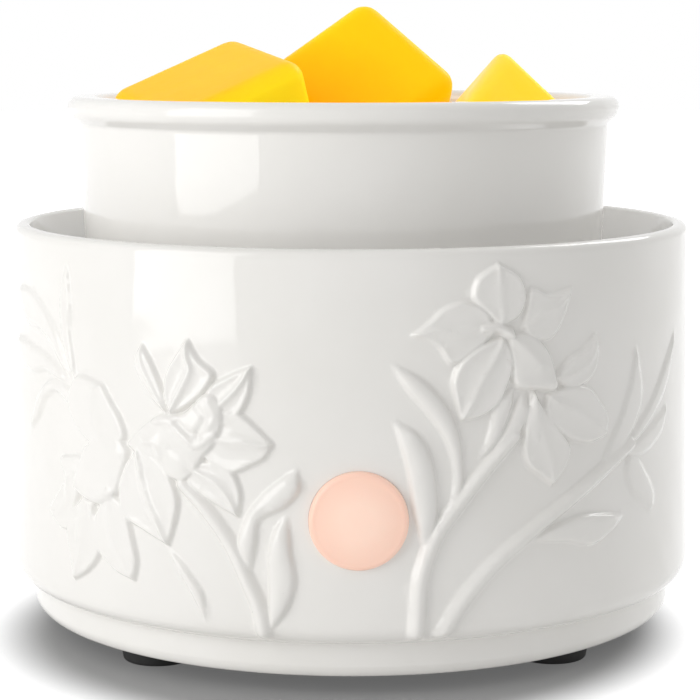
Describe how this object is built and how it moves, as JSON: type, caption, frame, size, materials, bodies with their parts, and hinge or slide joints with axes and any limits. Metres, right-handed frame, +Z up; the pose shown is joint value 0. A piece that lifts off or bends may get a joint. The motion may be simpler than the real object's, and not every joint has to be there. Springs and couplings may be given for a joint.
{
  "type": "wax melt warmer",
  "caption": "Round glazed ceramic electric wax melt warmer with raised flower sprays, a lift-out dish of wax melts, an indicator window and rubber feet.",
  "frame": {"origin": "on the table under the centre of the ceramic housing, where the rubber feet stand", "axes": "+Z up, -Y towards the front with the indicator window, +Y towards the back with the cord inlet, +X to the right seen from the front"},
  "size_m": [0.1324, 0.1347, 0.1192],
  "materials": {
    "body_glaze": "gloss",
    "dish_glaze": "gloss",
    "wax": "satin",
    "plate_aluminium": "satin",
    "silicone_seal": "matte",
    "element_card": "matte",
    "mica": "satin",
    "brass": "satin",
    "zinc_steel": "satin",
    "fuse_case": "satin",
    "black_plastic": "matte",
    "white_plastic": "satin",
    "black_rubber": "matte",
    "brown_lead": "satin",
    "blue_lead": "satin",
    "white_lead": "satin",
    "lens": "gloss",
    "lamp": "gloss"
  },
  "bodies": {
    "housing": {"ceramic_body": "body_glaze", "hot_plate": "plate_aluminium", "plate_gasket": "silicone_seal", "heating_element": "element_card", "mica_sheets": "mica", "element_tabs": "brass", "spade_receptacles": "brass", "clamp_plate": "zinc_steel", "stud_nuts": "zinc_steel", "stud_spacer": "zinc_steel", "heat_shield": "plate_aluminium", "thermal_fuse": "fuse_case", "fuse_clip": "zinc_steel", "clip_screws": "zinc_steel", "base_plate": "black_plastic", "tie_screws": "zinc_steel", "rubber_feet": "black_rubber", "terminal_block": "white_plastic", "terminal_screws": "brass", "block_screw": "zinc_steel", "live_lead": "brown_lead", "neutral_lead": "blue_lead", "element_lead": "brown_lead", "lamp_leads": "white_lead", "cord_grommet": "black_rubber", "indicator_lens": "lens", "lens_gasket": "silicone_seal", "lens_retainer": "black_plastic", "lamp_holder": "white_plastic", "indicator_lamp": "lamp"},
    "dish": {"wax_dish": "dish_glaze"},
    "wax": {"wax_melt_left": "wax", "wax_melt_middle": "wax", "wax_melt_right": "wax"}
  },
  "joints": [
    {"name": "dish_lift", "type": "slide", "parent": "housing", "child": "dish", "axis": [0, 0, 1], "range_m": [0, 0.06]},
    {"name": "wax_lift", "type": "slide", "parent": "dish", "child": "wax", "axis": [0, 0, 1], "range_m": [0, 0.05]}
  ]
}
